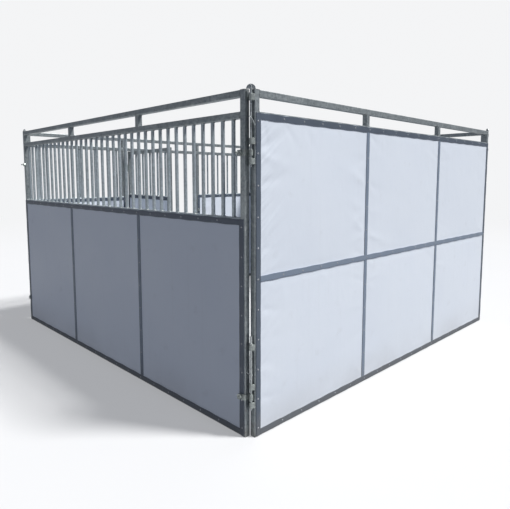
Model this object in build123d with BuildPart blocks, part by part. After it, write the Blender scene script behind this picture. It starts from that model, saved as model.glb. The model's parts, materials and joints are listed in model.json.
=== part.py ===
from build123d import *
from math import cos, radians, sin
import os

os.makedirs("parts", exist_ok=True)

# Portable horse stall: four pinned panels of welded square tube, open above and below.
# Lengths in millimetres, +Z up, origin on the ground under the middle of the stall.

# Panels
panel_length = 3600.0
panel_height = 2130.0
tube = 40.0                   # side of the square tube
tube_wall = 2.0
vent_height = 85.0            # open strip between the top rail and the rail below it
half_wall_height = 1377.0     # top of the rail that carries the bars
divider_spacing = 1200.0      # the two dividers stand this far apart
bar_diameter = 25.0
bar_pitch = 100.0             # nominal, bars are evenly spaced between tube centre lines

# Cladding: a sheet held down by flat riveted strips
sheet_thickness = 2.0
strip_width = 38.0
strip_thickness = 3.0
strip_inset = 8.0             # from the frame's outer edge to the strip

# Corners: the panels meet edge to edge, with a drop pin in the notch between them
corner_gap = 3.0
pin_diameter = 14.0
pin_clearance = 0.5
eye_wall = 5.5
lug_height = 36.0
lug_plate = 4.0
strap_reach = 54.0            # how far a strap runs back from the post's end, to its bolted ear
nut_width = 32.0
nut_height = 13.0
stud_diameter = 12.0
stud_reaches = (26.0, 42.0)   # how far each coupling's bolt stands out of the frame's face
coupling_heights = (262.0, 1765.0)   # middle of the strap round the front or back panel
upper_lug_rise = 66.0
lower_lug_drop = 51.0
guide_lug_rise = 320.0
pin_tail = 84.0
pin_rise = 389.0
pin_round = 4.0
collar_radius = 11.0          # the pin hangs on its collar, on top of the guide lug
collar_height = 7.0
head_radius = 28.0            # half-round lifting plate, across the corner on the upper pin
head_thickness = 5.0
head_lap = 22.0               # how far the pin runs up the head plate
head_turn = 45.0

# Door leaf, in the middle bay of the left panel
door_angle = 97.0             # how far it stands open, inwards
door_side_gap = 10.0
door_top_gap = 10.0
door_sill_gap = 15.0
door_rail_top = 1410.0        # top of the leaf's own rail under its bars
hinge_heights = (160.0, 960.0, 1700.0)   # foot of each hinge
knuckle_height = 29.5
knuckle_gap = 0.75
knuckle_radius = 10.0
hinge_pin_radius = 5.0
hinge_clearance = 0.1
hinge_plate = 4.0
hinge_leaf_width = 30.0
latch_height = 1150.0
latch_plate_width = 110.0
latch_plate_height = 44.0
latch_plate_thickness = 4.0
bolt_diameter = 16.0
bolt_length = 150.0
bolt_clearance = 0.5
bolt_pull_back = 3.0          # the drawn bolt stays this far inside the leaf's edge
guide_width = 14.0
guide_wall = 6.0
knob_length = 34.0
knob_diameter = 10.0
keeper_width = 24.0

# Worked out from the sizes above
cladding = sheet_thickness + strip_thickness
half_length = panel_length / 2
half_span = half_length + corner_gap + tube
second_rail_top = panel_height - tube - vent_height
second_rail_bottom = second_rail_top - tube
mid_rail_top = (second_rail_top + tube) / 2
divider_place = divider_spacing / 2
doorway_half = divider_place - tube / 2
post_line = half_length - tube / 2
hinge_reach = knuckle_radius + cladding
hinge_line = doorway_half - door_side_gap / 2

# Sheet face of each panel's frame: x along the panel, y up, z out through the sheet
front_face = Plane(origin=(0, -half_span, 0), x_dir=(1, 0, 0), z_dir=(0, -1, 0))
right_face = Plane(origin=(half_span, 0, 0), x_dir=(0, 1, 0), z_dir=(1, 0, 0))
back_face = Plane(origin=(0, half_span, 0), x_dir=(-1, 0, 0), z_dir=(0, 1, 0))
left_face = Plane(origin=(tube - half_span, 0, 0), x_dir=(0, 1, 0), z_dir=(1, 0, 0))

# The leaf's sheet face, turned about the hinge line to where the leaf stands open
hinge_point = left_face.from_local_coords((-hinge_line, 0, hinge_reach))
swing = radians(door_angle)
leaf_out = Vector(cos(swing), -sin(swing), 0)
leaf_face = Plane(
    origin=hinge_point - leaf_out * hinge_reach,
    x_dir=(sin(swing), cos(swing), 0),
    z_dir=leaf_out,
)
leaf_start = door_side_gap / 2
leaf_end = 2 * doorway_half - door_side_gap - leaf_start
leaf_bottom = tube + door_sill_gap
leaf_top = second_rail_bottom - door_top_gap


def upright(face, along, low, high):
    """Square tube standing behind the sheet face, centred at a distance along the panel."""
    foot = face.from_local_coords((along, low, -tube / 2))
    with BuildSketch(Plane(origin=foot, x_dir=face.x_dir, z_dir=face.y_dir)) as section:
        Rectangle(tube, tube)
        Rectangle(tube - 2 * tube_wall, tube - 2 * tube_wall, mode=Mode.SUBTRACT)
    extrude(section.sketch, amount=high - low)


def rail(face, start, end, top):
    """Square tube lying behind the sheet face, from one place along the panel to another."""
    near = face.from_local_coords((start, top - tube / 2, -tube / 2))
    with BuildSketch(Plane(origin=near, x_dir=face.y_dir, z_dir=face.x_dir)) as section:
        Rectangle(tube, tube)
        Rectangle(tube - 2 * tube_wall, tube - 2 * tube_wall, mode=Mode.SUBTRACT)
    extrude(section.sketch, amount=end - start)


def bars(face, start, end, low, high):
    """Round bars standing on a rail, evenly spaced between two tube centre lines."""
    gaps = round((end - start) / bar_pitch)
    pitch = (end - start) / gaps
    foot = face.from_local_coords((0, low, -tube / 2))
    with BuildSketch(Plane(origin=foot, x_dir=face.x_dir, z_dir=face.y_dir)) as section:
        with Locations([(start + pitch * (i + 1), 0) for i in range(gaps - 1)]):
            Circle(bar_diameter / 2)
    extrude(section.sketch, amount=high - low)


def slab(face, start, end, low, high, depth, thickness):
    """Flat rectangular piece on the sheet face, standing off it by a depth."""
    middle = ((start + end) / 2, (low + high) / 2)
    with BuildSketch(face.offset(depth)) as outline:
        with Locations(middle):
            Rectangle(end - start, high - low)
    extrude(outline.sketch, amount=thickness)


def strip_frame(face, outer, cross_tops, divider_places):
    """Riveted strips round a sheet and over the frame's inner tubes, all in one layer.

    outer holds the frame's outer edges: start, end, bottom and top. The outer strips lie just
    inside them. cross_tops are the tops of the rails that carry a strip in between.
    """
    start, end, bottom, top = outer
    inner_start = start + strip_inset + strip_width
    inner_end = end - strip_inset - strip_width
    low = bottom + strip_inset
    high = top - strip_inset
    slab(face, start + strip_inset, inner_start, low, high, sheet_thickness, strip_thickness)
    slab(face, inner_end, end - strip_inset, low, high, sheet_thickness, strip_thickness)
    levels = [low, high - strip_width]
    levels += [t - (tube + strip_width) / 2 for t in cross_tops]
    for level in levels:
        slab(face, inner_start, inner_end, level, level + strip_width, sheet_thickness, strip_thickness)
    for place in divider_places:
        side = place - strip_width / 2
        slab(face, side, side + strip_width, low, high, sheet_thickness, strip_thickness)


def save(builder, name):
    builder.part.label = name
    export_step(builder.part, f"parts/{name}.step")


# Posts at both ends of each panel, standing on the ground
for name, face in (
    ("front_posts", front_face),
    ("right_posts", right_face),
    ("back_posts", back_face),
    ("left_posts", left_face),
):
    with BuildPart() as posts:
        for place in (-post_line, post_line):
            upright(face, place, 0, panel_height)
    save(posts, name)

# Rails between the posts: top, second and bottom, with one at mid height where the
# panel is clad all the way up
post_inside = half_length - tube
for name, face, tops in (
    ("front_rails", front_face, (panel_height, second_rail_top, tube)),
    ("left_rails", left_face, (panel_height, second_rail_top, tube)),
    ("right_rails", right_face, (panel_height, second_rail_top, mid_rail_top, tube)),
    ("back_rails", back_face, (panel_height, second_rail_top, mid_rail_top, tube)),
):
    with BuildPart() as rails:
        for top in tops:
            rail(face, -post_inside, post_inside, top)
    save(rails, name)

# Dividers: short tubes between the rails, one above the other
stub = (second_rail_top, panel_height - tube)
clad_spans = ((tube, mid_rail_top - tube), (mid_rail_top, second_rail_bottom), stub)
for name, face, spans in (
    ("front_dividers", front_face, ((tube, half_wall_height - tube), stub)),
    ("right_dividers", right_face, clad_spans),
    ("back_dividers", back_face, clad_spans),
    ("left_jambs", left_face, ((tube, second_rail_bottom), stub)),
):
    with BuildPart() as dividers:
        for place in (-divider_place, divider_place):
            for low, high in spans:
                upright(face, place, low, high)
    save(dividers, name)

# Grilles: round bars welded on the rail that tops the clad half of a panel
for name, face, rail_span, bar_span in (
    ("front_grille", front_face, (-post_inside, post_inside), (-post_line, post_line)),
    ("left_grille_front", left_face, (-post_inside, -divider_place - tube / 2), (-post_line, -divider_place)),
    ("left_grille_back", left_face, (divider_place + tube / 2, post_inside), (divider_place, post_line)),
):
    with BuildPart() as grille:
        rail(face, *rail_span, half_wall_height)
        bars(face, *bar_span, half_wall_height, second_rail_bottom)
    save(grille, name)

# Sheets and the strips that hold them
sheet_edge = half_length - strip_inset
for side, face, top, cross_tops in (
    ("front", front_face, half_wall_height, ()),
    ("right", right_face, second_rail_top, (mid_rail_top,)),
    ("back", back_face, second_rail_top, (mid_rail_top,)),
):
    with BuildPart() as sheet:
        slab(face, -sheet_edge, sheet_edge, strip_inset, top - strip_inset, 0, sheet_thickness)
    save(sheet, f"{side}_sheet")
    with BuildPart() as strips:
        outer = (-half_length, half_length, 0, top)
        strip_frame(face, outer, cross_tops, (-divider_place, divider_place))
    save(strips, f"{side}_strips")

# The left panel is clad on its inner side, in the bays beside the doorway
bay_start = doorway_half
for name, make in (("left_sheets", "sheet"), ("left_strips", "strips")):
    with BuildPart() as bay_cladding:
        for start, end in ((-half_length, -bay_start), (bay_start, half_length)):
            if make == "sheet":
                low = strip_inset
                high = half_wall_height - strip_inset
                slab(left_face, start + strip_inset, end - strip_inset, low, high, 0, sheet_thickness)
            else:
                strip_frame(left_face, (start, end, 0, half_wall_height), (), ())
    save(bay_cladding, name)

# Couplings. The notch at a corner is drawn in plan from the outer corner of the front or
# back panel's post: x out past that panel's end, y in along the side panel.
eye_radius = pin_diameter / 2 + pin_clearance
eye_outer = eye_radius + eye_wall
pin_x = corner_gap + tube / 2
pin_y = tube + corner_gap - eye_outer


def notch_plane(x_side, y_side, height):
    """Plan of one corner's notch, with its axes pointing out and inwards."""
    corner = (x_side * half_length, y_side * half_span, height)
    return Plane(origin=corner, x_dir=(x_side, 0, 0), z_dir=(0, 0, 1))


def inward(y_side, x_side, y):
    """A plan distance measured inwards, in the notch plane's own y direction."""
    return -x_side * y_side * y


def eye(x_side, y_side):
    """Round outside of a lug, about the pin."""
    with Locations((pin_x, inward(y_side, x_side, pin_y))):
        Circle(eye_outer)


def eye_hole(x_side, y_side):
    with Locations((pin_x, inward(y_side, x_side, pin_y))):
        Circle(eye_radius, mode=Mode.SUBTRACT)


def plan_box(x_side, y_side, x_low, x_high, y_low, y_high):
    """Rectangle in the notch's plan."""
    middle = inward(y_side, x_side, (y_low + y_high) / 2)
    with Locations(((x_low + x_high) / 2, middle)):
        Rectangle(x_high - x_low, y_high - y_low)


def side_lug(x_side, y_side, height):
    """Lug welded on the end of a side panel's post: a base plate that tapers into an eye."""
    post_end = tube + corner_gap
    with BuildSketch(notch_plane(x_side, y_side, height - lug_height / 2)) as plan:
        plan_box(x_side, y_side, corner_gap, corner_gap + tube, post_end - lug_plate, post_end)
        eye(x_side, y_side)
        make_hull()
        eye_hole(x_side, y_side)
    extrude(plan.sketch, amount=lug_height)


def strap_lug(x_side, y_side, height, standoff, stud_reach):
    """Strap bent over the outer face and the end of a post, carried on to an eye.

    The leg on the outer face ends in a round ear with a bolt and its nut.
    """
    outside = -standoff - lug_plate
    ear_radius = lug_height / 2
    ear_place = ear_radius - strap_reach
    seat = (x_side * half_length, y_side * (half_span + standoff), height)
    ear_face = Plane(origin=seat, x_dir=(x_side, 0, 0), z_dir=(0, y_side, 0))
    with BuildSketch(ear_face) as leg:
        with Locations(((ear_place + lug_plate) / 2, 0)):
            Rectangle(lug_plate - ear_place, lug_height)
        with Locations((ear_place, 0)):
            Circle(ear_radius)
    extrude(leg.sketch, amount=lug_plate)
    with BuildSketch(ear_face.offset(lug_plate)) as nut:
        with Locations((ear_place, 0)):
            RegularPolygon(nut_width / 2, 6, major_radius=False)
    extrude(nut.sketch, amount=nut_height)
    with BuildSketch(ear_face.offset(lug_plate)) as stud:
        with Locations((ear_place, 0)):
            Circle(stud_diameter / 2)
    extrude(stud.sketch, amount=stud_reach - standoff - lug_plate)
    with BuildSketch(notch_plane(x_side, y_side, height - lug_height / 2)) as plan:
        plan_box(x_side, y_side, 0, lug_plate, outside, tube)
        plan_box(x_side, y_side, 0, pin_x, pin_y - lug_plate / 2, pin_y + lug_plate / 2)
        eye(x_side, y_side)
        eye_hole(x_side, y_side)
    extrude(plan.sketch, amount=lug_height)


def drop_pin(x_side, y_side, height):
    """Long round-topped pin, with a collar that hangs on the guide lug."""
    foot = notch_plane(x_side, y_side, height - pin_tail)
    place = foot.from_local_coords((pin_x, inward(y_side, x_side, pin_y), 0))
    with BuildSketch(Plane(origin=place, z_dir=(0, 0, 1))) as section:
        Circle(pin_diameter / 2)
    extrude(section.sketch, amount=pin_tail + pin_rise)
    fillet(edges(Select.LAST).sort_by(Axis.Z)[-1], radius=pin_round)
    collar_foot = place + Vector(0, 0, pin_tail + guide_lug_rise + lug_height / 2)
    with BuildSketch(Plane(origin=collar_foot, z_dir=(0, 0, 1))) as collar:
        Circle(collar_radius)
    extrude(collar.sketch, amount=collar_height)


def lifting_plate(x_side, y_side, height):
    """Half-round plate across the top of a pin."""
    foot = notch_plane(x_side, y_side, height + pin_rise - head_lap)
    head_foot = foot.from_local_coords((pin_x, inward(y_side, x_side, pin_y), 0))
    across = radians(-x_side * y_side * head_turn)
    along = Vector(cos(across), sin(across), 0)
    outward = along.cross(Vector(0, 0, 1))
    with BuildSketch(Plane(origin=head_foot, x_dir=along, z_dir=outward)) as plate:
        Circle(head_radius)
        with Locations((0, -head_radius)):
            Rectangle(2 * head_radius, 2 * head_radius, mode=Mode.SUBTRACT)
    extrude(plate.sketch, amount=head_thickness / 2, both=True)


lower_coupling, upper_coupling = coupling_heights
for corner, x_side, y_side in (
    ("front_right", 1, -1),
    ("front_left", -1, -1),
    ("back_right", 1, 1),
    ("back_left", -1, 1),
):
    with BuildPart() as lugs:
        for height in coupling_heights:
            for rise in (guide_lug_rise, upper_lug_rise, -lower_lug_drop):
                side_lug(x_side, y_side, height + rise)
    save(lugs, f"{corner}_lugs")
    with BuildPart() as straps:
        upper_standoff = cladding if y_side > 0 else 0
        strap_lug(x_side, y_side, lower_coupling, cladding, stud_reaches[0])
        strap_lug(x_side, y_side, upper_coupling, upper_standoff, stud_reaches[1])
    save(straps, f"{corner}_straps")
    with BuildPart() as pins:
        for height in coupling_heights:
            drop_pin(x_side, y_side, height)
        lifting_plate(x_side, y_side, upper_coupling)
    save(pins, f"{corner}_pins")

# Door leaf, built where it stands open
leaf_stile_in = leaf_start + tube
leaf_stile_out = leaf_end - tube
with BuildPart() as door_stiles:
    for place in (leaf_start + tube / 2, leaf_end - tube / 2):
        upright(leaf_face, place, leaf_bottom, leaf_top)
save(door_stiles, "door_stiles")

with BuildPart() as door_rails:
    for top in (leaf_top, leaf_bottom + tube):
        rail(leaf_face, leaf_stile_in, leaf_stile_out, top)
save(door_rails, "door_rails")

with BuildPart() as door_grille:
    rail(leaf_face, leaf_stile_in, leaf_stile_out, door_rail_top)
    bars(leaf_face, leaf_start + tube / 2, leaf_end - tube / 2, door_rail_top, leaf_top - tube)
save(door_grille, "door_grille")

with BuildPart() as door_sheet:
    low = leaf_bottom + strip_inset
    high = door_rail_top - strip_inset
    slab(leaf_face, leaf_start + strip_inset, leaf_end - strip_inset, low, high, 0, sheet_thickness)
save(door_sheet, "door_sheet")

with BuildPart() as door_strips:
    strip_frame(leaf_face, (leaf_start, leaf_end, leaf_bottom, door_rail_top), (), ())
save(door_strips, "door_strips")

# Hinges: two fixed knuckles with the pin on the jamb, one turning knuckle on the leaf.
# Each plate seats on the strip, or on the bare tube above the clad half.
hinge_height = 3 * knuckle_height + 2 * knuckle_gap
plate_start = knuckle_radius + hinge_clearance + knuckle_gap


def seat_depth(height, clad_top):
    """What a plate on the frame stands on: the strip, or the tube's bare face."""
    return cladding if height < clad_top else 0


def knuckle(axis_point, low, radius, height):
    with BuildSketch(Plane(origin=axis_point + Vector(0, 0, low), z_dir=(0, 0, 1))) as section:
        Circle(radius)
    extrude(section.sketch, amount=height)


def hinge_flap(face, axis_place, side, foot, spans, seat):
    """Flat plate beside a knuckle, with a tongue at the height of each of its knuckles."""
    near = axis_place + side * plate_start
    far = axis_place + side * (plate_start + hinge_leaf_width)
    top = cladding + hinge_plate
    slab(face, min(near, far), max(near, far), foot, foot + hinge_height, seat, top - seat)
    for low, high in spans:
        slab(face, min(axis_place, near), max(axis_place, near), low, high, cladding, hinge_plate)


axis_foot = Vector(hinge_point.X, hinge_point.Y, 0)
with BuildPart() as jamb_hinges:
    for foot in hinge_heights:
        upper = foot + 2 * (knuckle_height + knuckle_gap)
        spans = ((foot, foot + knuckle_height), (upper, upper + knuckle_height))
        hinge_flap(left_face, -hinge_line, -1, foot, spans, seat_depth(foot, half_wall_height))
        for low, high in spans:
            knuckle(axis_foot, low, knuckle_radius, high - low)
        knuckle(axis_foot, foot, hinge_pin_radius, hinge_height)
save(jamb_hinges, "jamb_hinges")

with BuildPart() as door_hinges:
    for foot in hinge_heights:
        low = foot + knuckle_height + knuckle_gap
        spans = ((low, low + knuckle_height),)
        hinge_flap(leaf_face, 0, 1, foot, spans, seat_depth(foot, door_rail_top))
        knuckle(axis_foot, low, knuckle_radius, knuckle_height)
        with BuildSketch(Plane(origin=axis_foot + Vector(0, 0, low), z_dir=(0, 0, 1))) as bore:
            Circle(hinge_pin_radius + hinge_clearance)
        extrude(bore.sketch, amount=knuckle_height, mode=Mode.SUBTRACT)
save(door_hinges, "door_hinges")

# Latch on the leaf's free stile: a bolt in two guides, drawn back, and its keeper on the jamb
bolt_radius = bolt_diameter / 2
bolt_depth = cladding + latch_plate_thickness + guide_wall + bolt_radius
bolt_tip = leaf_end - bolt_pull_back
latch_end = leaf_end - strip_inset
latch_start = latch_end - latch_plate_width
guide_top = bolt_depth + bolt_radius + guide_wall
guide_half = bolt_radius + guide_wall


def bolt_section(face, along):
    """Plane across the bolt, at a place along the panel."""
    place = face.from_local_coords((along, latch_height, bolt_depth))
    return Plane(origin=place, x_dir=face.y_dir, z_dir=face.x_dir)


def bolt_guide(face, start, width):
    """Block round the bolt, standing on the latch plate."""
    foot = cladding + latch_plate_thickness
    low = latch_height - guide_half
    slab(face, start, start + width, low, latch_height + guide_half, foot, guide_top - foot)
    with BuildSketch(bolt_section(face, start)) as bore:
        Circle(bolt_radius + bolt_clearance)
    extrude(bore.sketch, amount=width, mode=Mode.SUBTRACT)


with BuildPart() as door_latch:
    low = latch_height - latch_plate_height / 2
    high = latch_height + latch_plate_height / 2
    slab(leaf_face, latch_start, latch_end, low, high, cladding, latch_plate_thickness)
    bolt_guide(leaf_face, latch_start, guide_width)
    bolt_guide(leaf_face, latch_end - guide_width, guide_width)
save(door_latch, "door_latch")

with BuildPart() as door_bolt:
    with BuildSketch(bolt_section(leaf_face, bolt_tip - bolt_length)) as section:
        Circle(bolt_radius)
    extrude(section.sketch, amount=bolt_length)
    knob_place = (latch_start + latch_end) / 2
    knob_foot = leaf_face.from_local_coords((knob_place, latch_height, bolt_depth))
    with BuildSketch(Plane(origin=knob_foot, x_dir=leaf_face.x_dir, z_dir=leaf_face.y_dir)) as knob:
        Circle(knob_diameter / 2)
    extrude(knob.sketch, amount=knob_length)
save(door_bolt, "door_bolt")

with BuildPart() as latch_keeper:
    keeper_start = doorway_half + strip_inset
    low = latch_height - latch_plate_height / 2
    high = latch_height + latch_plate_height / 2
    slab(left_face, keeper_start, keeper_start + keeper_width, low, high, cladding, latch_plate_thickness)
    bolt_guide(left_face, keeper_start, guide_width)
save(latch_keeper, "latch_keeper")
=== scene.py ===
import json
import math

import bpy
import numpy as np
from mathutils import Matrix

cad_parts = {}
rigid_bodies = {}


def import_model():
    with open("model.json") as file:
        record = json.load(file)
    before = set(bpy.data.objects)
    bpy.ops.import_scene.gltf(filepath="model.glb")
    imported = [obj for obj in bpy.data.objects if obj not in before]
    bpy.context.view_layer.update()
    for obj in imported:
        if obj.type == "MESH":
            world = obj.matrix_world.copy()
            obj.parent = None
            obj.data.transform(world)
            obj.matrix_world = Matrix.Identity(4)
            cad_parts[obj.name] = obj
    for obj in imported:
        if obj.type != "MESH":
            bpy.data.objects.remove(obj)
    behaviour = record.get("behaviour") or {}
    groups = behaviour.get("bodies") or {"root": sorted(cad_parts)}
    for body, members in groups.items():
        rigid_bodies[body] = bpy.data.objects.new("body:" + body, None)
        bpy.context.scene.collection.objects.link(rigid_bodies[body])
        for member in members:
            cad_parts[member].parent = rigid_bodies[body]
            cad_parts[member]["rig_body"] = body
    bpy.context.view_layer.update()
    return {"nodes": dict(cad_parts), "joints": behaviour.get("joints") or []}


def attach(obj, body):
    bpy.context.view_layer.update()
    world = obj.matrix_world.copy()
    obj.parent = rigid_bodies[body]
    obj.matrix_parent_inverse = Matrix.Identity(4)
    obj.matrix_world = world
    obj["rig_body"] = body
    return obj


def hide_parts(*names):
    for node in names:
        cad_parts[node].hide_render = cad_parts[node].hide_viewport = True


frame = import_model()
chance = np.random.default_rng(17)


# Five flat weldments make the stall: four panels and the door leaf, each welded up on a bench.
# A place on one is its distance along, its height, and its depth out through the face that
# the sheet lies on. The leaf hangs on its hinge line, turned open.
class Bench:
    """A weldment's own directions, with points given as (along, up, out)."""

    def __init__(self, body, foot, along):
        self.body = body
        self.foot = np.array(foot, float)
        self.axes = np.array([along, (0, 0, 1), np.cross(along, (0, 0, 1))], float)

    def place(self, flat):
        """Bench points in the stall's frame: foot + along, up and out times their amounts."""
        return self.foot + flat @ self.axes

    def flatten(self, points):
        """The other way round: the stall's points as amounts along, up and out."""
        return (points - self.foot) @ self.axes.T


def corner_points(node):
    """Corner points of a CAD node."""
    mesh = frame["nodes"][node].data
    points = np.empty(3 * len(mesh.vertices), np.float32)
    mesh.vertices.foreach_get("co", points)
    return points.reshape(-1, 3).astype(float)


hinge = frame["joints"][0]
swing = math.radians(hinge["range_deg"][1])
benches = {
    "front": Bench("stall", (0, corner_points("front_posts")[:, 1].min(), 0), (1, 0, 0)),
    "right": Bench("stall", (corner_points("right_posts")[:, 0].max(), 0, 0), (0, 1, 0)),
    "back": Bench("stall", (0, corner_points("back_posts")[:, 1].max(), 0), (-1, 0, 0)),
    "left": Bench("stall", (corner_points("left_posts")[:, 0].max(), 0, 0), (0, 1, 0)),
    "door": Bench("door", hinge["pos_m"], (math.sin(swing), math.cos(swing), 0)),
}
leaf = benches["door"]
leaf.foot = leaf.foot + leaf.axes[2] * leaf.flatten(corner_points("door_stiles"))[:, 2].max()


# Posts, rails, dividers and door stiles: 40 mm square tube with rounded corners, sawn to length
# and hot-dip galvanised, so the zinc shows crystals, dull runs and a little rust at the foot.
class Signal:
    """A shader socket. Arithmetic on it adds the Math node that works the value out."""

    def __init__(self, finish, socket):
        self.finish = finish
        self.socket = socket

    def math(self, operation, *others):
        return self.finish.node("ShaderNodeMath", {"operation": operation}, dict(enumerate((self, *others))))

    def __add__(self, other):
        return self.math("ADD", other)

    def __mul__(self, other):
        return self.math("MULTIPLY", other)

    def __sub__(self, other):
        return self.math("SUBTRACT", other)

    def __rsub__(self, other):
        return self.math("MULTIPLY_ADD", -1.0, other)

    __radd__ = __add__
    __rmul__ = __mul__


class Finish:
    """A material that is being put together, node by node."""

    def __init__(self, name):
        self.material = bpy.data.materials.new(name)
        self.material.use_nodes = True
        self.tree = self.material.node_tree
        self.tree.nodes.clear()

    def node(self, kind, settings, inputs, output=0):
        """Adds a node: its settings first, then the values or links of its sockets."""
        made = self.tree.nodes.new(kind)
        for name, value in settings.items():
            setattr(made, name, value)
        for key, value in inputs.items():
            if isinstance(value, Signal):
                self.tree.links.new(value.socket, made.inputs[key])
            else:
                made.inputs[key].default_value = value
        return Signal(self, made.outputs[output] if made.outputs else None)

    def coordinates(self, output="Object"):
        return self.node("ShaderNodeTexCoord", {}, {}, output)

    def stretched(self, vector, scale):
        return self.node("ShaderNodeMapping", {}, {"Vector": vector, "Scale": scale})

    def noise(self, vector, scale, detail=3.0):
        return self.node("ShaderNodeTexNoise", {}, {"Vector": vector, "Scale": scale, "Detail": detail})

    def part(self, vector, axis):
        return self.node("ShaderNodeSeparateXYZ", {}, {0: vector}, "XYZ".index(axis))

    def ramp(self, value, low, high):
        """0 where the value is low, 1 where it is high, and a smooth step between."""
        inputs = {"Value": value, "From Min": low, "From Max": high}
        return self.node("ShaderNodeMapRange", {"interpolation_type": "SMOOTHSTEP"}, inputs)

    def blend(self, share, first, second):
        """Colour that goes from the first to the second as share goes from 0 to 1."""
        colours = [c if isinstance(c, Signal) else (*c, 1.0) for c in (first, second)]
        inputs = {0: share, 6: colours[0], 7: colours[1]}
        return self.node("ShaderNodeMix", {"data_type": "RGBA"}, inputs, 2)

    def bump(self, height, strength, distance, normal=None):
        inputs = {"Height": height, "Strength": strength, "Distance": distance}
        if normal is not None:
            inputs["Normal"] = normal
        return self.node("ShaderNodeBump", {}, inputs)

    def shade(self, **inputs):
        """Closes the material with a Principled shader."""
        named = {name.replace("_", " "): value for name, value in inputs.items()}
        skin = self.node("ShaderNodeBsdfPrincipled", {}, named)
        self.node("ShaderNodeOutputMaterial", {}, {"Surface": skin})
        return self.material


def galvanised(name, light, dark, metallic, rust_reach, dull=0.34):
    """Zinc on steel: crystals 12 mm wide, runs down the tube, and rust that ends at a height."""
    zinc = Finish(name)
    place = zinc.coordinates()
    facet = zinc.node("ShaderNodeTexVoronoi", {}, {"Vector": place, "Scale": 80.0}, "Color")
    crystal = zinc.part(facet, "X")
    cloud = zinc.noise(place, 5.0)
    runs = zinc.noise(zinc.stretched(place, (60.0, 60.0, 2.5)), 1.0)
    tone = 0.45 * crystal + 0.9 * cloud + 0.5 * runs - 0.42
    colour = zinc.blend(tone, dark, light)
    # Pale chalky zinc in patches, made brighter than chalk alone so that the patches also give painted glints.
    chalk_and_glint = zinc.ramp(zinc.noise(place, 17.0, 6.0), 0.62, 0.78)
    colour = zinc.blend(0.45 * chalk_and_glint, colour, (0.66, 0.67, 0.66))
    specks = zinc.ramp(zinc.noise(place, 42.0, 5.0), 0.56, 0.7)
    low = 1.0 - zinc.ramp(zinc.part(place, "Z") + 0.1 * cloud, 0.02, rust_reach)
    rust = specks * (0.12 + 0.8 * low)
    colour = zinc.blend(rust, colour, (0.16, 0.075, 0.03))
    dust = low * zinc.ramp(cloud, 0.3, 0.7)
    colour = zinc.blend(0.55 * dust, colour, (0.20, 0.165, 0.115))
    rough = dull + 0.16 * crystal + 0.25 * chalk_and_glint + 0.3 * rust + 0.2 * dust
    relief = zinc.bump(crystal + 2.0 * cloud + specks, 0.12, 0.0006)
    return zinc.shade(Base_Color=colour, Roughness=rough, Metallic=metallic, Normal=relief)


def solids(node, bench):
    """Each solid of a node as its lowest and highest corner on the bench.

    Corners of one triangle belong together: each takes the lowest number among them, again
    and again, until the numbers stay.
    """
    mesh = frame["nodes"][node].data
    loops = np.empty(len(mesh.loops), np.int32)
    mesh.loops.foreach_get("vertex_index", loops)
    points, same = np.unique(corner_points(node).round(5), axis=0, return_inverse=True)
    triangles = same.reshape(-1)[loops].reshape(-1, 3)
    number = np.arange(len(points))
    changed = True
    while changed:
        lower = number.copy()
        np.minimum.at(lower, triangles, number[triangles].min(axis=1)[:, None])
        changed = (lower != number).any()
        number = lower
    flat = bench.flatten(points)
    return [(flat[number == n].min(axis=0), flat[number == n].max(axis=0)) for n in np.unique(number)]


def loft(rings, endless=False):
    """Skin over rings of equally many points: point j of a ring joins point j + 1 and the next ring.

    The rings turn clockwise seen along the way they go. Open ends close on their middles, and
    an endless loft joins its last ring to its first.
    """
    count, around = rings.shape[:2]
    index = np.arange(count * around).reshape(count, around)
    ahead = np.roll(index, -1, axis=1)
    if endless:
        upper, ahead_upper = np.roll(index, -1, axis=0), np.roll(ahead, -1, axis=0)
        quads = np.stack([index, ahead, ahead_upper, upper], axis=-1).reshape(-1, 4)
        return rings.reshape(-1, 3), quads, np.empty((0, 3), int)
    quads = np.stack([index[:-1], ahead[:-1], ahead[1:], index[1:]], axis=-1).reshape(-1, 4)
    first = np.stack([ahead[0], index[0], np.full(around, count * around)], axis=-1)
    last = np.stack([index[-1], ahead[-1], np.full(around, count * around + 1)], axis=-1)
    points = np.concatenate([rings.reshape(-1, 3), rings[[0, -1]].mean(axis=1)])
    return points, quads, np.concatenate([first, last])


def gathered(shapes):
    """Several shapes as one, the corners of the later ones numbered on."""
    starts = np.cumsum([0] + [len(points) for points, _, _ in shapes])
    points = np.concatenate([points for points, _, _ in shapes])
    quads = np.concatenate([quads + start for start, (_, quads, _) in zip(starts, shapes)])
    triangles = np.concatenate([corners + start for start, (_, _, corners) in zip(starts, shapes)])
    return points, quads, triangles


def add_piece(name, bench, shapes, material, stands_for=(), sharp=40):
    """Makes one smooth mesh of bench shapes, creased where faces meet more sharply, in degrees."""
    points, quads, triangles = gathered(shapes)
    mesh = bpy.data.meshes.new(name)
    mesh.from_pydata(bench.place(points).tolist(), [], quads.tolist() + triangles.tolist())
    mesh.shade_smooth()
    mesh.set_sharp_from_angle(angle=math.radians(sharp))
    mesh.materials.append(material)
    piece = bpy.data.objects.new(name, mesh)
    bpy.context.scene.collection.objects.link(piece)
    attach(piece, bench.body)
    if stands_for:
        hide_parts(*stands_for)
    return piece


tube_corner = 0.004
flat_margin = 0.0012


def tube_outline(side):
    """Square with rounded corners: in each quarter, a point just short of the flat, then the arc
    centre + radius * (cos turn, sin turn), then a point just on the next flat."""
    turn = np.linspace(0, math.pi / 2, 5)
    centre = side / 2 - tube_corner
    arc = centre + tube_corner * np.stack([np.cos(turn), np.sin(turn)], axis=1)
    ends = np.array([(side / 2, centre - flat_margin), (centre - flat_margin, side / 2)])
    quarter = np.concatenate([ends[:1], arc, ends[1:]])
    turned = [quarter]
    for _ in range(3):
        turned.append(np.stack([-turned[-1][:, 1], turned[-1][:, 0]], axis=1))
    return np.concatenate(turned)


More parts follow.
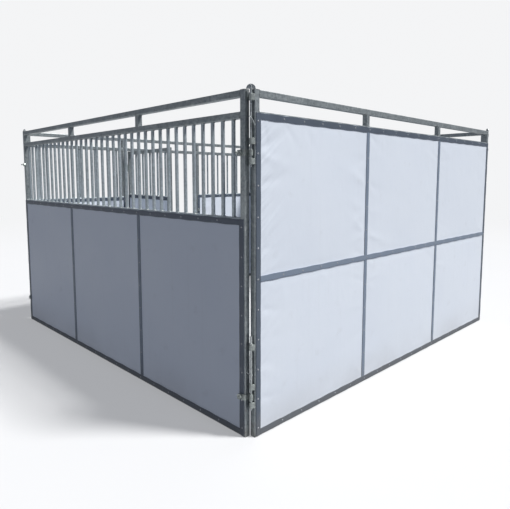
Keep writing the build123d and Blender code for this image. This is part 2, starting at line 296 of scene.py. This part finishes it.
def carried(outline, low, high, axis):
    """An outline at both ends of a straight stock that fills the box from low to high."""
    middle = (low + high) / 2
    rings = np.tile(middle, (2, len(outline), 1))
    rings[0, :, axis] = low[axis]
    rings[1, :, axis] = high[axis]
    rings[:, :, (axis + 1) % 3] += outline[:, 0]
    rings[:, :, (axis + 2) % 3] += outline[:, 1]
    return loft(rings)


tube_steel = galvanised("Galvanised tube", (0.42, 0.455, 0.46), (0.18, 0.205, 0.215), 0.55, 0.16)
tube_nodes = {
    "front": ("front_posts", "front_rails", "front_dividers"),
    "right": ("right_posts", "right_rails", "right_dividers"),
    "back": ("back_posts", "back_rails", "back_dividers"),
    "left": ("left_posts", "left_rails", "left_jambs"),
    "door": ("door_stiles", "door_rails"),
}
tube_ends = {side: [] for side in benches}
for side, nodes in tube_nodes.items():
    for node in nodes:
        stock = []
        for low, high in solids(node, benches[side]):
            axis = int(np.argmax(high - low))
            stock.append(carried(tube_outline((high - low).min()), low, high, axis))
            if "posts" not in node and "stiles" not in node:
                tube_ends[side] += [(low, high, axis, 1), (low, high, axis, -1)]
        piece = add_piece(node + "_tube", benches[side], stock, tube_steel, [node])


# Grilles: round bars let in between a square rail and the rail above, each welded all round at
# its foot and its head. The bars are tube of the same galvanised steel, given a lighter, bluer
# colour that is a painted reflection of the sky light round bars catch.
# Same zinc as the tubes; the lighter, bluer colours are painted reflection of the sky.
bar_steel_sky_sheen = galvanised("Galvanised bar with painted sheen", (0.55, 0.61, 0.64), (0.30, 0.345, 0.365), 0.5, 0.1)
bar_ends = {side: [] for side in benches}
for node, side in (
    ("front_grille", "front"),
    ("left_grille_front", "left"),
    ("left_grille_back", "left"),
    ("door_grille", "door"),
):
    bench = benches[side]
    flat = bench.flatten(corner_points(node))
    low, high = flat.min(axis=0), flat.max(axis=0)
    rail_side = high[2] - low[2]
    rail_high = np.array([high[0], low[1] + rail_side, high[2]])
    stock = [carried(tube_outline(rail_side), low, rail_high, 0)]
    tube_ends[side] += [(low, rail_high, 0, 1), (low, rail_high, 0, -1)]
    heads = np.unique(flat[flat[:, 1] > high[1] - 1e-4, 0].round(5))
    bars = np.split(heads, np.nonzero(np.diff(heads) > 0.03)[0] + 1)
    turn = np.linspace(0, 2 * math.pi, 17)[:-1]
    for spread in bars:
        radius = (spread[-1] - spread[0]) / 2
        middle = (spread[0] + spread[-1]) / 2
        circle = radius * np.stack([np.cos(turn), np.sin(turn)], axis=1)
        foot = np.array([middle, rail_high[1], (low[2] + high[2]) / 2])
        stock.append(carried(circle, foot, foot + (0, high[1] - rail_high[1], 0), 1))
        bar_ends[side] += [(foot[0], foot[1], foot[2], radius, 1), (foot[0], high[1], foot[2], radius, -1)]
    piece = add_piece(node + "_bars", bench, stock, bar_steel_sky_sheen, [node])


# Welds: a fillet run round the end of every rail, divider and bar, with the ripples that the
# arc leaves. On the face that carries the sheet each run is ground nearly flush.
def bead(outline, middle, axis, way, width):
    """Fillet round an outline: its points grown by width cos v and raised by width sin v, v over a
    quarter turn, with the width rippling along the run; the fifth point lies inside the corner."""
    around = np.roll(outline, -1, axis=0) - outline
    run = np.concatenate([[0], np.cumsum(np.linalg.norm(around, axis=1))])
    steps = int(run[-1] / 0.0022)
    at = np.linspace(0, run[-1], steps + 1)[:-1]
    closed = np.concatenate([outline, outline[:1]])
    path = np.stack([np.interp(at, run, closed[:, k]) for k in range(2)], axis=1)
    tangent = np.roll(path, -1, axis=0) - np.roll(path, 1, axis=0)
    tangent /= np.linalg.norm(tangent, axis=1)[:, None]
    normal = np.stack([tangent[:, 1], -tangent[:, 0]], axis=1)
    ripple = 1 + 0.16 * np.cos(at / 0.0075 * math.pi * 2) + 0.1 * chance.standard_normal(steps)
    out = np.zeros((steps, 3))
    out[:, (axis + 1) % 3] = normal[:, 0]
    out[:, (axis + 2) % 3] = normal[:, 1]
    ground = np.where(out[:, 2] > 0.5, 0.12, 1.0)
    size = width * ripple * ground
    quarter = np.linspace(0, math.pi / 2, 4)
    grow = np.append(np.cos(quarter), -0.4)
    rise = np.append(np.sin(quarter), 0.0)
    rings = middle + out[:, None, :] * (size[:, None] * grow)[:, :, None]
    rings[:, :, (axis + 1) % 3] += path[:, None, 0]
    rings[:, :, (axis + 2) % 3] += path[:, None, 1]
    rings[:, :, axis] += way * size[:, None] * rise
    return loft(rings if way < 0 else rings[:, ::-1], endless=True)


weld_metal = galvanised("Zinc over weld", (0.46, 0.48, 0.47), (0.17, 0.17, 0.16), 0.45, 0.5)
for side, bench in benches.items():
    runs = []
    for low, high, axis, way in tube_ends[side]:
        middle = (low + high) / 2
        middle[axis] = low[axis] if way > 0 else high[axis]
        runs.append(bead(tube_outline((high - low).min()), middle, axis, way, 0.003))
    for along, up, depth, radius, way in bar_ends[side]:
        turn = np.linspace(0, 2 * math.pi, 33)[:-1]
        circle = radius * np.stack([np.cos(turn), np.sin(turn)], axis=1)
        runs.append(bead(circle, np.array([along, up, depth]), 1, way, 0.0035))
    piece = add_piece(side + "_welds", bench, runs, weld_metal, sharp=80)


# Post caps: moulded plastic plugs with a low crown, pushed into the open tube ends on top of
# every post and of the door stiles.
def crowned_cap(low, high):
    """Tube outline shrunk ring by ring while it rises: a short skirt, a round-over and a crown."""
    outline = tube_outline((high - low).min())
    middle = (low + high) / 2
    rings = []
    for share, rise in ((1.0, 0.0), (1.0, 0.0012), (0.985, 0.0018), (0.95, 0.0022), (0.6, 0.0030), (0.25, 0.0033)):
        ring = np.tile(middle, (len(outline), 1))
        ring[:, 1] = high[1] + rise
        ring[:, 2] += share * outline[:, 0]
        ring[:, 0] += share * outline[:, 1]
        rings.append(ring)
    return loft(np.array(rings))


cap_plastic = Finish("Cap plastic")
grain = cap_plastic.noise(cap_plastic.coordinates(), 180.0, 2.0)
fade = cap_plastic.noise(cap_plastic.coordinates(), 9.0, 4.0)
cap_colour = cap_plastic.blend(fade, (0.018, 0.019, 0.021), (0.055, 0.056, 0.058))
cap_material = cap_plastic.shade(
    Base_Color=cap_colour, Roughness=0.42 + 0.2 * fade, Normal=cap_plastic.bump(grain, 0.2, 0.0004)
)
for side, nodes in tube_nodes.items():
    caps = [crowned_cap(low, high) for low, high in solids(nodes[0], benches[side])]
    piece = add_piece(side + "_caps", benches[side], caps, cap_material)


# Sheets: white coated cloth, one length to each clad face, stretched over the frame and held
# down only along its strips, so each field bellies a little and creases run in from the rivets.
strip_width = 0.038
rivet_pitch = 0.195
cloth_thickness = 0.0014
cloth_lift = 0.001


def spread_stops(stops, step):
    """Grid lines from stop to stop, closer near each: stop + span (s - 0.6 sin(2 pi s) / 2 pi)."""
    lines = [np.array(stops[:1])]
    for first, last in zip(stops[:-1], stops[1:]):
        share = np.linspace(0, 1, max(3, int((last - first) / step)) + 1)[1:]
        lines.append(first + (last - first) * (share - 0.6 * np.sin(2 * math.pi * share) / (2 * math.pi)))
    return np.concatenate(lines)


def rivet_places(start, end):
    """Even places along a strip, a thumb's width in from both ends."""
    count = max(2, round((end - start) / rivet_pitch))
    return np.linspace(start + 0.03, end - 0.03, count + 1)


def pull_creases(across, heights, strength):
    """Creases that start at rivets: place, direction, length, width and height of each."""
    starts = []
    for stop in across:
        for up in rivet_places(heights[0], heights[-1]):
            starts += [(stop, up, turn) for turn, end in ((0.0, -1), (math.pi, 0)) if stop != across[end]]
    for stop in heights:
        for along in rivet_places(across[0], across[-1]):
            starts += [(along, stop, -math.pi / 2)] if stop > heights[0] else []
    starts = np.repeat(np.array(starts), 2, axis=0)
    count = len(starts)
    corner = np.exp(-np.hypot(starts[:, 0] - across[0], starts[:, 1] - heights[-1]) / 0.8)
    turn = starts[:, 2] + chance.uniform(-0.7, 0.7, count) + 0.45 * corner * np.cos(starts[:, 2])
    height = strength * (0.3 + 1.4 * corner) * chance.uniform(0.4, 1, count) * chance.choice([-1, 1], count)
    height = np.where(starts[:, 2] < 0, 0.35, 1.0) * height
    return zip(starts, turn, chance.uniform(0.03, 0.10, count), chance.uniform(0.006, 0.011, count), height)


def cloth_depth(along, up, across, heights, belly, creases):
    """Depth of the cloth: belly sin(pi s) sin(pi t) in each field, plus each crease's ridge,
    height (q / length) exp(1 - q / length) exp(-(r / width)^2), q along it and r across it, all
    let down to the frame near a strip."""
    wide, tall = [np.searchsorted(stops, values).clip(1, len(stops) - 1)
                  for stops, values in ((across, along), (heights, up))]
    share = (along - across[wide - 1]) / (across[wide] - across[wide - 1])
    rise = (up - heights[tall - 1]) / (heights[tall] - heights[tall - 1])
    lift = 0.75 + 0.25 * np.cos(5.0 * wide + 3.0 * tall)
    depth = belly * lift * np.sin(math.pi * share.clip(0, 1)) * np.sin(math.pi * rise.clip(0, 1))
    for (x, z, _), turn, length, width, height in creases:
        q = (along - x) * math.cos(turn) + (up - z) * math.sin(turn)
        r = -(along - x) * math.sin(turn) + (up - z) * math.cos(turn)
        spread = width + 0.12 * q.clip(0)
        fade = (q.clip(0) / length) * np.exp(1 - q.clip(0) / length)
        depth = depth + height * fade * np.exp(-((r / spread) ** 2))
    near = [np.abs(values[..., None] - stops).min(axis=-1) - strip_width / 2
            for values, stops in ((along, across), (up, heights))]
    free = (np.minimum(*near) / 0.05).clip(0, 1)
    return cloth_lift + depth * free * free * (3 - 2 * free)


def coated_cloth(name):
    """White coating over a weave: threads 3 mm apart in UV metres, grey handling marks, runs of
    rain dirt from the top, and splashed dust that fades out above the ground."""
    cloth = Finish(name)
    place = cloth.coordinates("UV")
    weave = cloth.node("ShaderNodeTexWave", {"bands_direction": "X"}, {"Vector": place, "Scale": 52.0}, 1)
    weft = cloth.node("ShaderNodeTexWave", {"bands_direction": "Y"}, {"Vector": place, "Scale": 52.0}, 1)
    cloud = cloth.noise(place, 1.6, 5.0)
    marks = cloth.ramp(cloth.noise(place, 9.0, 8.0), 0.60, 0.78)
    rain = cloth.ramp(cloth.noise(cloth.stretched(place, (26.0, 0.7, 1.0)), 1.0), 0.55, 0.85)
    splash = 1.0 - cloth.ramp(cloth.part(place, "Y") + 0.16 * cloud, 0.06, 0.42)
    colour = cloth.blend(cloud, (0.775, 0.82, 0.885), (0.705, 0.755, 0.84))
    colour = cloth.blend(0.10 * marks, colour, (0.42, 0.41, 0.40))
    colour = cloth.blend(0.07 * rain, colour, (0.45, 0.44, 0.42))
    colour = cloth.blend(0.30 * splash * cloth.ramp(cloud, 0.25, 0.75), colour, (0.36, 0.32, 0.27))
    rumple = cloth.noise(cloth.stretched(place, (7.0, 4.0, 1.0)), 1.0)
    pull = cloth.node("ShaderNodeAttribute", {"attribute_name": "pull"}, {}, "Fac")
    turned_place = cloth.node("ShaderNodeMapping", {}, {"Vector": place, "Rotation": (0.0, 0.0, -0.66)})
    fold = cloth.noise(cloth.stretched(turned_place, (2.6, 27.0, 1.0)), 1.0, 1.0)
    soft = cloth.bump(rumple + 5.0 * pull * fold, 0.3, 0.006)
    relief = cloth.bump(weave + weft, 0.10, 0.0003, soft)
    rough = 0.46 + 0.14 * cloud + 0.15 * marks
    return cloth.shade(Base_Color=colour, Roughness=rough, Metallic=0.0, Sheen_Weight=0.15, Normal=relief)


cloth_material = coated_cloth("White coated cloth")
sheet_layout = {}
for side, node, divider_node, rail_node, belly, strength in (
    ("front", "front_sheet", "front_dividers", None, -0.007, 0.0016),
    ("right", "right_sheet", "right_dividers", "right_rails", 0.007, 0.0034),
    ("back", "back_sheet", "back_dividers", "back_rails", 0.006, 0.0022),
    ("left", "left_sheets", None, None, 0.004, 0.0014),
    ("door", "door_sheet", None, None, 0.004, 0.0016),
):
    bench = benches[side]
    sheet_layout[side] = []
    for number, (low, high) in enumerate(solids(node, bench)):
        across = [low[0] + strip_width / 2, high[0] - strip_width / 2]
        heights = [low[1] + strip_width / 2, high[1] - strip_width / 2]
        if divider_node:
            across += {round((a[0] + b[0]) / 2, 4) for a, b in solids(divider_node, bench)}
        if rail_node:
            middles = [(a[1] + b[1]) / 2 for a, b in solids(rail_node, bench)]
            heights += [up for up in middles if heights[0] + 0.1 < up < heights[1] - 0.1]
        across, heights = np.sort(across), np.sort(heights)
        sheet_layout[side].append((across, heights))
        columns = spread_stops([low[0], *across, high[0]], 0.0135)
        rows = spread_stops([low[1], *heights, high[1]], 0.0135)
        along, up = np.meshgrid(columns, rows)
        creases = pull_creases(across, heights, strength)
        depth = cloth_depth(along, up, across, heights, belly, creases)
        index = np.arange(along.size).reshape(along.shape)
        quads = np.stack([index[:-1, :-1], index[:-1, 1:], index[1:, 1:], index[1:, :-1]], axis=-1)
        flat = np.stack([along, up, depth], axis=-1).reshape(-1, 3)
        shape = (flat, quads.reshape(-1, 4), np.empty((0, 3), int))
        piece = add_piece(f"{side}_cloth_{number}", bench, [shape], cloth_material, [node], sharp=60)
        loops = np.empty(len(piece.data.loops), np.int32)
        piece.data.loops.foreach_get("vertex_index", loops)
        piece.data.uv_layers.new(name="cloth").data.foreach_set("uv", flat[loops, :2].ravel())
        reach = 290 * strength * np.exp((across[0] - along) / 0.12) * (0.4 + 0.6 * up / heights[-1])
        piece.data.attributes.new("pull", "FLOAT", "POINT").data.foreach_set("value", reach.clip(0, 1).ravel())
        wall = piece.modifiers.new("Cloth thickness", "SOLIDIFY")
        wall.thickness = cloth_thickness
        wall.offset = 0.0
        size = (high - low)[:2]
        side + "_strips_laid"


# Strips: dark flat bar, 38 by 3 mm with rolled edges, laid over the cloth along every tube. They
# are riveted through it, and stand off a hair and bow at the edge between one rivet and the next.
strip_seat = 0.002
strip_thickness = 0.003
edge_round = 0.0009
scallop = (0.0026, 0.0009)


def laid_strip(start, end, centre, axis):
    """Bar's cross-section carried along axis 0 or 1, its edges moved by -scallop cos(2 pi s / pitch)
    and its face lifted by a hair in the same wave, s from rivet to rivet."""
    steps = max(2, int((end - start) / 0.03))
    at = np.linspace(start, end, steps + 1)
    count = max(2, round((end - start) / rivet_pitch))
    wave = -np.cos(2 * math.pi * (at - start - 0.03) / ((end - start - 0.06) / count))
    half = strip_width / 2
    turn = np.linspace(0, math.pi / 2, 4)
    side = np.concatenate([half - edge_round * (1 - np.cos(turn)), [half - 0.004]])
    rise = np.concatenate([strip_thickness - edge_round * (1 - np.sin(turn)), [strip_thickness]])
    offset = np.concatenate([[-half, half], side, -side[::-1]])
    height = np.concatenate([[0, 0], rise, rise[::-1]])
    rings = np.empty((len(at), len(offset), 3))
    rings[:, :, axis] = at[:, None]
    rings[:, :, 1 - axis] = centre + offset * (1 + 0.5 * scallop[axis] / half * wave[:, None])
    lifted = np.where(height > 0, 1.0, 0.0) * 0.0002 * (1 + wave[:, None])
    rings[:, :, 2] = strip_seat + height + lifted
    return loft(rings if axis == 0 else rings[:, ::-1])


def painted_bar(name):
    """Slate finish, faded on the inner strips, and on the sunlit side lighter still as painted sheen:
    rubbed lighter in patches, scratched here and there, with dust lying low down."""
    bar = Finish(name)
    place = bar.coordinates()
    cloud = bar.noise(place, 6.0, 5.0)
    fine = bar.noise(place, 160.0, 2.0)
    scratch = bar.ramp(bar.noise(bar.stretched(place, (14.0, 14.0, 14.0)), 1.0, 10.0), 0.62, 0.72)
    fade = bar.node("ShaderNodeAttribute", {"attribute_name": "fade"}, {}, "Fac")
    # fade: real fading of the inner strips, plus painted sheen on the sunlit right panel.
    colour = bar.blend(0.25 * cloud + 0.75 * fade, (0.066, 0.083, 0.110), (0.205, 0.252, 0.325))
    colour = bar.blend(0.3 * scratch, colour, (0.30, 0.31, 0.33))
    dust = 1.0 - bar.ramp(bar.part(place, "Z") + 0.1 * cloud, 0.04, 0.24)
    colour = bar.blend(0.4 * dust, colour, (0.21, 0.20, 0.18))
    rough = 0.42 + 0.18 * cloud + 0.2 * dust
    return bar.shade(Base_Color=colour, Roughness=rough, Metallic=0.1, Normal=bar.bump(fine + cloud, 0.15, 0.0005))


strip_material = painted_bar("Slate strip")
rivet_rows = {side: [] for side in benches}
for side, layouts in sheet_layout.items():
    bars = []
    fade_and_sheen_shares = []
    # Inner strips fade to 0.6; on the sunlit right panel they go to 1.0, the extra being painted sheen.
    inner_fade_and_sun_sheen = 1.0 if side == "right" else 0.6
    for across, heights in layouts:
        half = strip_width / 2
        for stop in (across[0], across[-1]):
            bars.append(laid_strip(heights[0] - half, heights[-1] + half, stop, 1))
            fade_and_sheen_shares.append(0.0)
            inner = 0.003 if stop == across[0] else -0.003
            rivet_rows[side] += [(stop - inner, up) for up in rivet_places(heights[0], heights[-1])]
        for up in heights:
            bars.append(laid_strip(across[0] + half, across[-1] - half, up, 0))
            fade_and_sheen_shares.append(inner_fade_and_sun_sheen if heights[0] < up < heights[-1] else 0.0)
            rivet_rows[side] += [(along, up) for along in rivet_places(across[0], across[-1])[1:-1]]
        for stop in across[1:-1]:
            for low, high in zip(heights[:-1], heights[1:]):
                bars.append(laid_strip(low + half, high - half, stop, 1))
                fade_and_sheen_shares.append(inner_fade_and_sun_sheen)
                rivet_rows[side] += [(stop, up) for up in rivet_places(low, high)[1:-1]]
    piece = add_piece(side + "_strips_laid", benches[side], bars, strip_material, [side + "_strips"])
    faded = np.repeat(fade_and_sheen_shares, [len(points) for points, _, _ in bars])
    piece.data.attributes.new("fade", "FLOAT", "POINT").data.foreach_set("value", faded)


# Rivets: aluminium blind rivets with 11 mm dome heads, one every 0.2 m along each strip, set by
# hand and so a little out of line.
def turned(profile, sides):
    """Solid turned about the depth axis: rings of the given radius at the given height."""
    turn = np.linspace(0, 2 * math.pi, sides + 1)[:-1]
    rings = [np.stack([r * np.cos(turn), r * np.sin(turn), np.full(sides, h)], axis=1) for r, h in profile]
    return loft(np.array(rings))


def repeated(shape, places):
    """One shape set at every place: its corners plus the place, its faces numbered on."""
    return gathered([(shape[0] + place, shape[1], shape[2]) for place in places])


rivet_metal = Finish("Rivet aluminium")
rivet_noise = rivet_metal.noise(rivet_metal.coordinates(), 70.0, 4.0)
rivet_colour = rivet_metal.blend(rivet_noise, (0.16, 0.17, 0.19), (0.48, 0.49, 0.51))
rivet_relief = rivet_metal.bump(rivet_noise, 0.2, 0.0004)
rivet_material = rivet_metal.shade(
    Base_Color=rivet_colour, Roughness=0.3 + 0.3 * rivet_noise, Metallic=0.8, Normal=rivet_relief
)
rivet = turned([(0.0058, 0.0), (0.0057, 0.0006), (0.0047, 0.0017), (0.0025, 0.0024)], 10)
for side, rows in rivet_rows.items():
    face = strip_seat + strip_thickness
    places = np.array([(along, up, face) for along, up in rows])
    places[:, :2] += chance.uniform(-0.0012, 0.0012, (len(places), 2))
    piece = add_piece(side + "_rivets", benches[side], [repeated(rivet, places)], rivet_material, sharp=60)


# Couplings, hinges and latch: flat steel bent or sawn to shape, drilled, welded up and dipped.
# Handling has rounded their arrises and rubbed the zinc bright on the pins and the bolt.
def dressed(node, material, rounding):
    """A fitting's own shape, its corners merged, with every sharp arris rounded."""
    source = frame["nodes"][node]
    mesh = source.data
    loops = np.empty(len(mesh.loops), np.int32)
    mesh.loops.foreach_get("vertex_index", loops)
    points, same = np.unique(corner_points(node).round(5), axis=0, return_inverse=True)
    triangles = same.reshape(-1)[loops].reshape(-1, 3)
    triangles = triangles[(triangles != np.roll(triangles, 1, axis=1)).all(axis=1)]
    whole = bpy.data.meshes.new(node + "_dressed")
    whole.from_pydata(points.tolist(), [], triangles.tolist())
    whole.shade_smooth()
    whole.set_sharp_from_angle(angle=math.radians(30))
    whole.materials.append(material)
    piece = bpy.data.objects.new(node + "_dressed", whole)
    bpy.context.scene.collection.objects.link(piece)
    arris = piece.modifiers.new("Rounded arrises", "BEVEL")
    arris.width = rounding
    arris.segments = 2
    arris.limit_method = "ANGLE"
    arris.angle_limit = math.radians(40)
    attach(piece, source["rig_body"])
    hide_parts(node)
    return piece


fitting_steel = galvanised("Galvanised fitting", (0.47, 0.51, 0.49), (0.22, 0.24, 0.23), 0.5, 0.3)
worn_steel = galvanised("Rubbed pin steel", (0.58, 0.61, 0.61), (0.26, 0.285, 0.29), 0.55, 0.2, 0.24)
for corner in ("front_right", "front_left", "back_right", "back_left"):
    dressed(corner + "_lugs", fitting_steel, 0.0008)
    dressed(corner + "_straps", fitting_steel, 0.0008)
    dressed(corner + "_pins", worn_steel, 0.0006)
for node in ("jamb_hinges", "door_hinges", "door_latch", "latch_keeper"):
    dressed(node, fitting_steel, 0.0006)
dressed("door_bolt", worn_steel, 0.0008)


# Retaining wires: spring wire hooked round each pin, its long leg pressed against a post, so that
# the pin can't turn or jump out. Upper ones lean towards the side panel, lower ones away from it.
wire_radius = 0.0028
upper_wire = np.array([(-0.013, 0.001, 0.001), (-0.009, 0.008, 0.003), (0, 0.0108, -0.003),
                       (0.012, 0.0098, -0.022), (0.0205, 0.0085, -0.044), (0.022, 0.0085, -0.053)])
lower_wire = np.array([(0.012, 0, -0.003), (0, 0, 0), (-0.012, 0.001, 0.006), (-0.024, 0.001, 0.014),
                       (-0.0272, 0.002, 0.019)])


def bent_wire(knots):
    """Round wire along a Catmull-Rom curve, which through knots b and c with neighbours a and d is
    b + (c - a) t / 2 + (2a - 5b + 4c - d) t^2 / 2 + (3b - a - 3c + d) t^3 / 2."""
    ends = np.concatenate([[2 * knots[0] - knots[1]], knots, [2 * knots[-1] - knots[-2]]])
    a, b, c, d = (ends[k:len(ends) - 3 + k, None] for k in range(4))
    t = np.linspace(0, 1, 5)[:-1, None]
    path = b + (c - a) * t / 2 + (2 * a - 5 * b + 4 * c - d) * t**2 / 2 + (3 * b - a - 3 * c + d) * t**3 / 2
    path = np.concatenate([path.reshape(-1, 3), knots[-1:]])
    tangent = np.gradient(path, axis=0)
    tangent /= np.linalg.norm(tangent, axis=1)[:, None]
    side = np.cross(tangent, (0, 1, 0))
    side /= np.linalg.norm(side, axis=1)[:, None]
    other = np.cross(side, tangent)
    turn = np.linspace(0, 2 * math.pi, 9)[:-1, None]
    return path[:, None] + wire_radius * (np.cos(turn) * side[:, None] + np.sin(turn) * other[:, None])


for corner in ("front_right", "front_left", "back_right", "back_left"):
    points = corner_points(corner + "_pins")
    ledge = points[points[:, 2] < points[:, 2].min() + 0.001]
    centre = (ledge.min(axis=0) + ledge.max(axis=0)) / 2
    side_x, side_y = np.sign(centre[:2])
    across = np.array([side_x, -side_y, 0]) / math.sqrt(2)
    outward = np.array([side_x, side_y, 0]) / math.sqrt(2)
    turn_over = 1 if side_x * side_y < 0 else -1
    wires = []
    for knots, level in ((upper_wire, 1.972), (lower_wire, 0.405)):
        rings = bent_wire(knots)
        placed = rings[..., :1] * across + rings[..., 1:2] * outward + rings[..., 2:] * (0, 0, 1)
        placed = placed + (centre[0], centre[1], level)
        wires.append(loft(placed[:, ::turn_over]))
    points, quads, triangles = gathered(wires)
    mesh = bpy.data.meshes.new(corner + "_wires")
    mesh.from_pydata(points.tolist(), [], quads.tolist() + triangles.tolist())
    mesh.shade_smooth()
    mesh.set_sharp_from_angle(angle=math.radians(60))
    mesh.materials.append(worn_steel)
    piece = bpy.data.objects.new(corner + "_wires", mesh)
    bpy.context.scene.collection.objects.link(piece)
    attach(piece, "stall")


# Studio: a pale floor that partly glows, which paints the shadows cast on it lighter, a pale
# surround that only the camera sees, one soft lamp high on the clad side, and dim light from
# everywhere else. The camera stands where the photograph was taken.
def studio_piece(name, shape, material):
    points, quads, triangles = shape
    mesh = bpy.data.meshes.new(name)
    mesh.from_pydata(points.tolist(), [], quads.tolist() + triangles.tolist())
    mesh.shade_smooth()
    mesh.materials.append(material)
    piece = bpy.data.objects.new(name, mesh)
    bpy.context.scene.collection.objects.link(piece)
    return piece


studio_reach = 60.0
glow_colour = (0.905, 0.91, 0.92, 1.0)


def rim(count):
    """Points round a circle of unit radius on the floor."""
    turn = np.linspace(0, 2 * math.pi, count + 1)[:-1]
    return np.stack([np.cos(turn), np.sin(turn), np.zeros(count)], axis=1)


paint = Finish("Floor paint")
floor_place = paint.coordinates()
far = paint.node("ShaderNodeVectorMath", {"operation": "LENGTH"}, {0: floor_place}, 1)
cloud = paint.noise(floor_place, 0.5, 3.0)
tone = paint.blend(cloud, (0.66, 0.66, 0.665), (0.63, 0.63, 0.64))
matt = paint.node("ShaderNodeBsdfPrincipled", {}, {"Base Color": tone, "Roughness": 0.9})
# Glow mixed into the floor: about a third near the stall, lightening the shadows cast there as painted light, and
# all of it further out where the floor meets the surround.
floor_glow = paint.node("ShaderNodeEmission", {}, {"Color": glow_colour})
glow_share_mix = paint.node("ShaderNodeMixShader", {}, {0: 0.35 + 0.65 * paint.ramp(far, 3.6, 17.0), 1: matt, 2: floor_glow})
paint.node("ShaderNodeOutputMaterial", {}, {"Surface": glow_share_mix})
floor_rings = np.array([reach * rim(64) for reach in (studio_reach, studio_reach, 24.0, 12.0, 6.0, 3.0)])
floor_rings[0, :, 2] = -0.05
floor = studio_piece("Floor", loft(floor_rings), paint.material)
floor.visible_diffuse = False

glow = Finish("Surround")
light = glow.node("ShaderNodeEmission", {}, {"Color": glow_colour})
glow.node("ShaderNodeOutputMaterial", {}, {"Surface": light})
climb = np.radians(np.array([-3.0, 2.0, 8.0, 16.0, 28.0, 42.0, 58.0, 74.0, 86.0]))
dome_rings = 0.97 * studio_reach * np.cos(climb)[:, None, None] * rim(64)
dome_rings[:, :, 2] = 0.97 * studio_reach * np.sin(climb)[:, None]
surround = studio_piece("Surround", loft(dome_rings), glow.material)
for unseen in ("visible_diffuse", "visible_glossy", "visible_transmission", "visible_shadow"):
    setattr(surround, unseen, False)

world = bpy.data.worlds.new("Studio light")
world.use_nodes = True
bpy.context.scene.world = world
air = world.node_tree.nodes["Background"]
air.inputs["Color"].default_value = (0.72, 0.78, 0.92, 1.0)
air.inputs["Strength"].default_value = 0.27

lamp = bpy.data.lights.new("Key lamp", "SUN")
lamp.energy = 5.0
lamp.angle = math.radians(10.0)
lamp.color = (1.0, 1.0, 0.99)
key = bpy.data.objects.new("Key lamp", lamp)
bpy.context.scene.collection.objects.link(key)
key_from = np.array([1.0, 0.80, 2.0])
azimuth = math.atan2(key_from[1], key_from[0])
tilt = math.atan2(math.hypot(key_from[0], key_from[1]), key_from[2])
key.rotation_euler = (0.0, tilt, azimuth)

photo_width = 510
focal_pixels = 482.7
middle_row = 254.5
optical_row = 227.6
eye_place = (3.892, -3.808, 1.613)
eye_yaw = math.radians(45.57)
eye_pitch = math.radians(-5.82)
camera_data = bpy.data.cameras.new("Camera")
camera_data.sensor_width = 36.0
camera_data.lens = 36.0 * focal_pixels / photo_width
camera_data.shift_y = (optical_row - middle_row) / photo_width
camera_data.clip_end = 200.0
camera = bpy.data.objects.new("Camera", camera_data)
camera.location = eye_place
camera.rotation_euler = (math.pi / 2 + eye_pitch, 0.0, eye_yaw)
bpy.context.scene.collection.objects.link(camera)
bpy.context.scene.camera = camera
bpy.context.scene.view_settings.view_transform = "Standard"
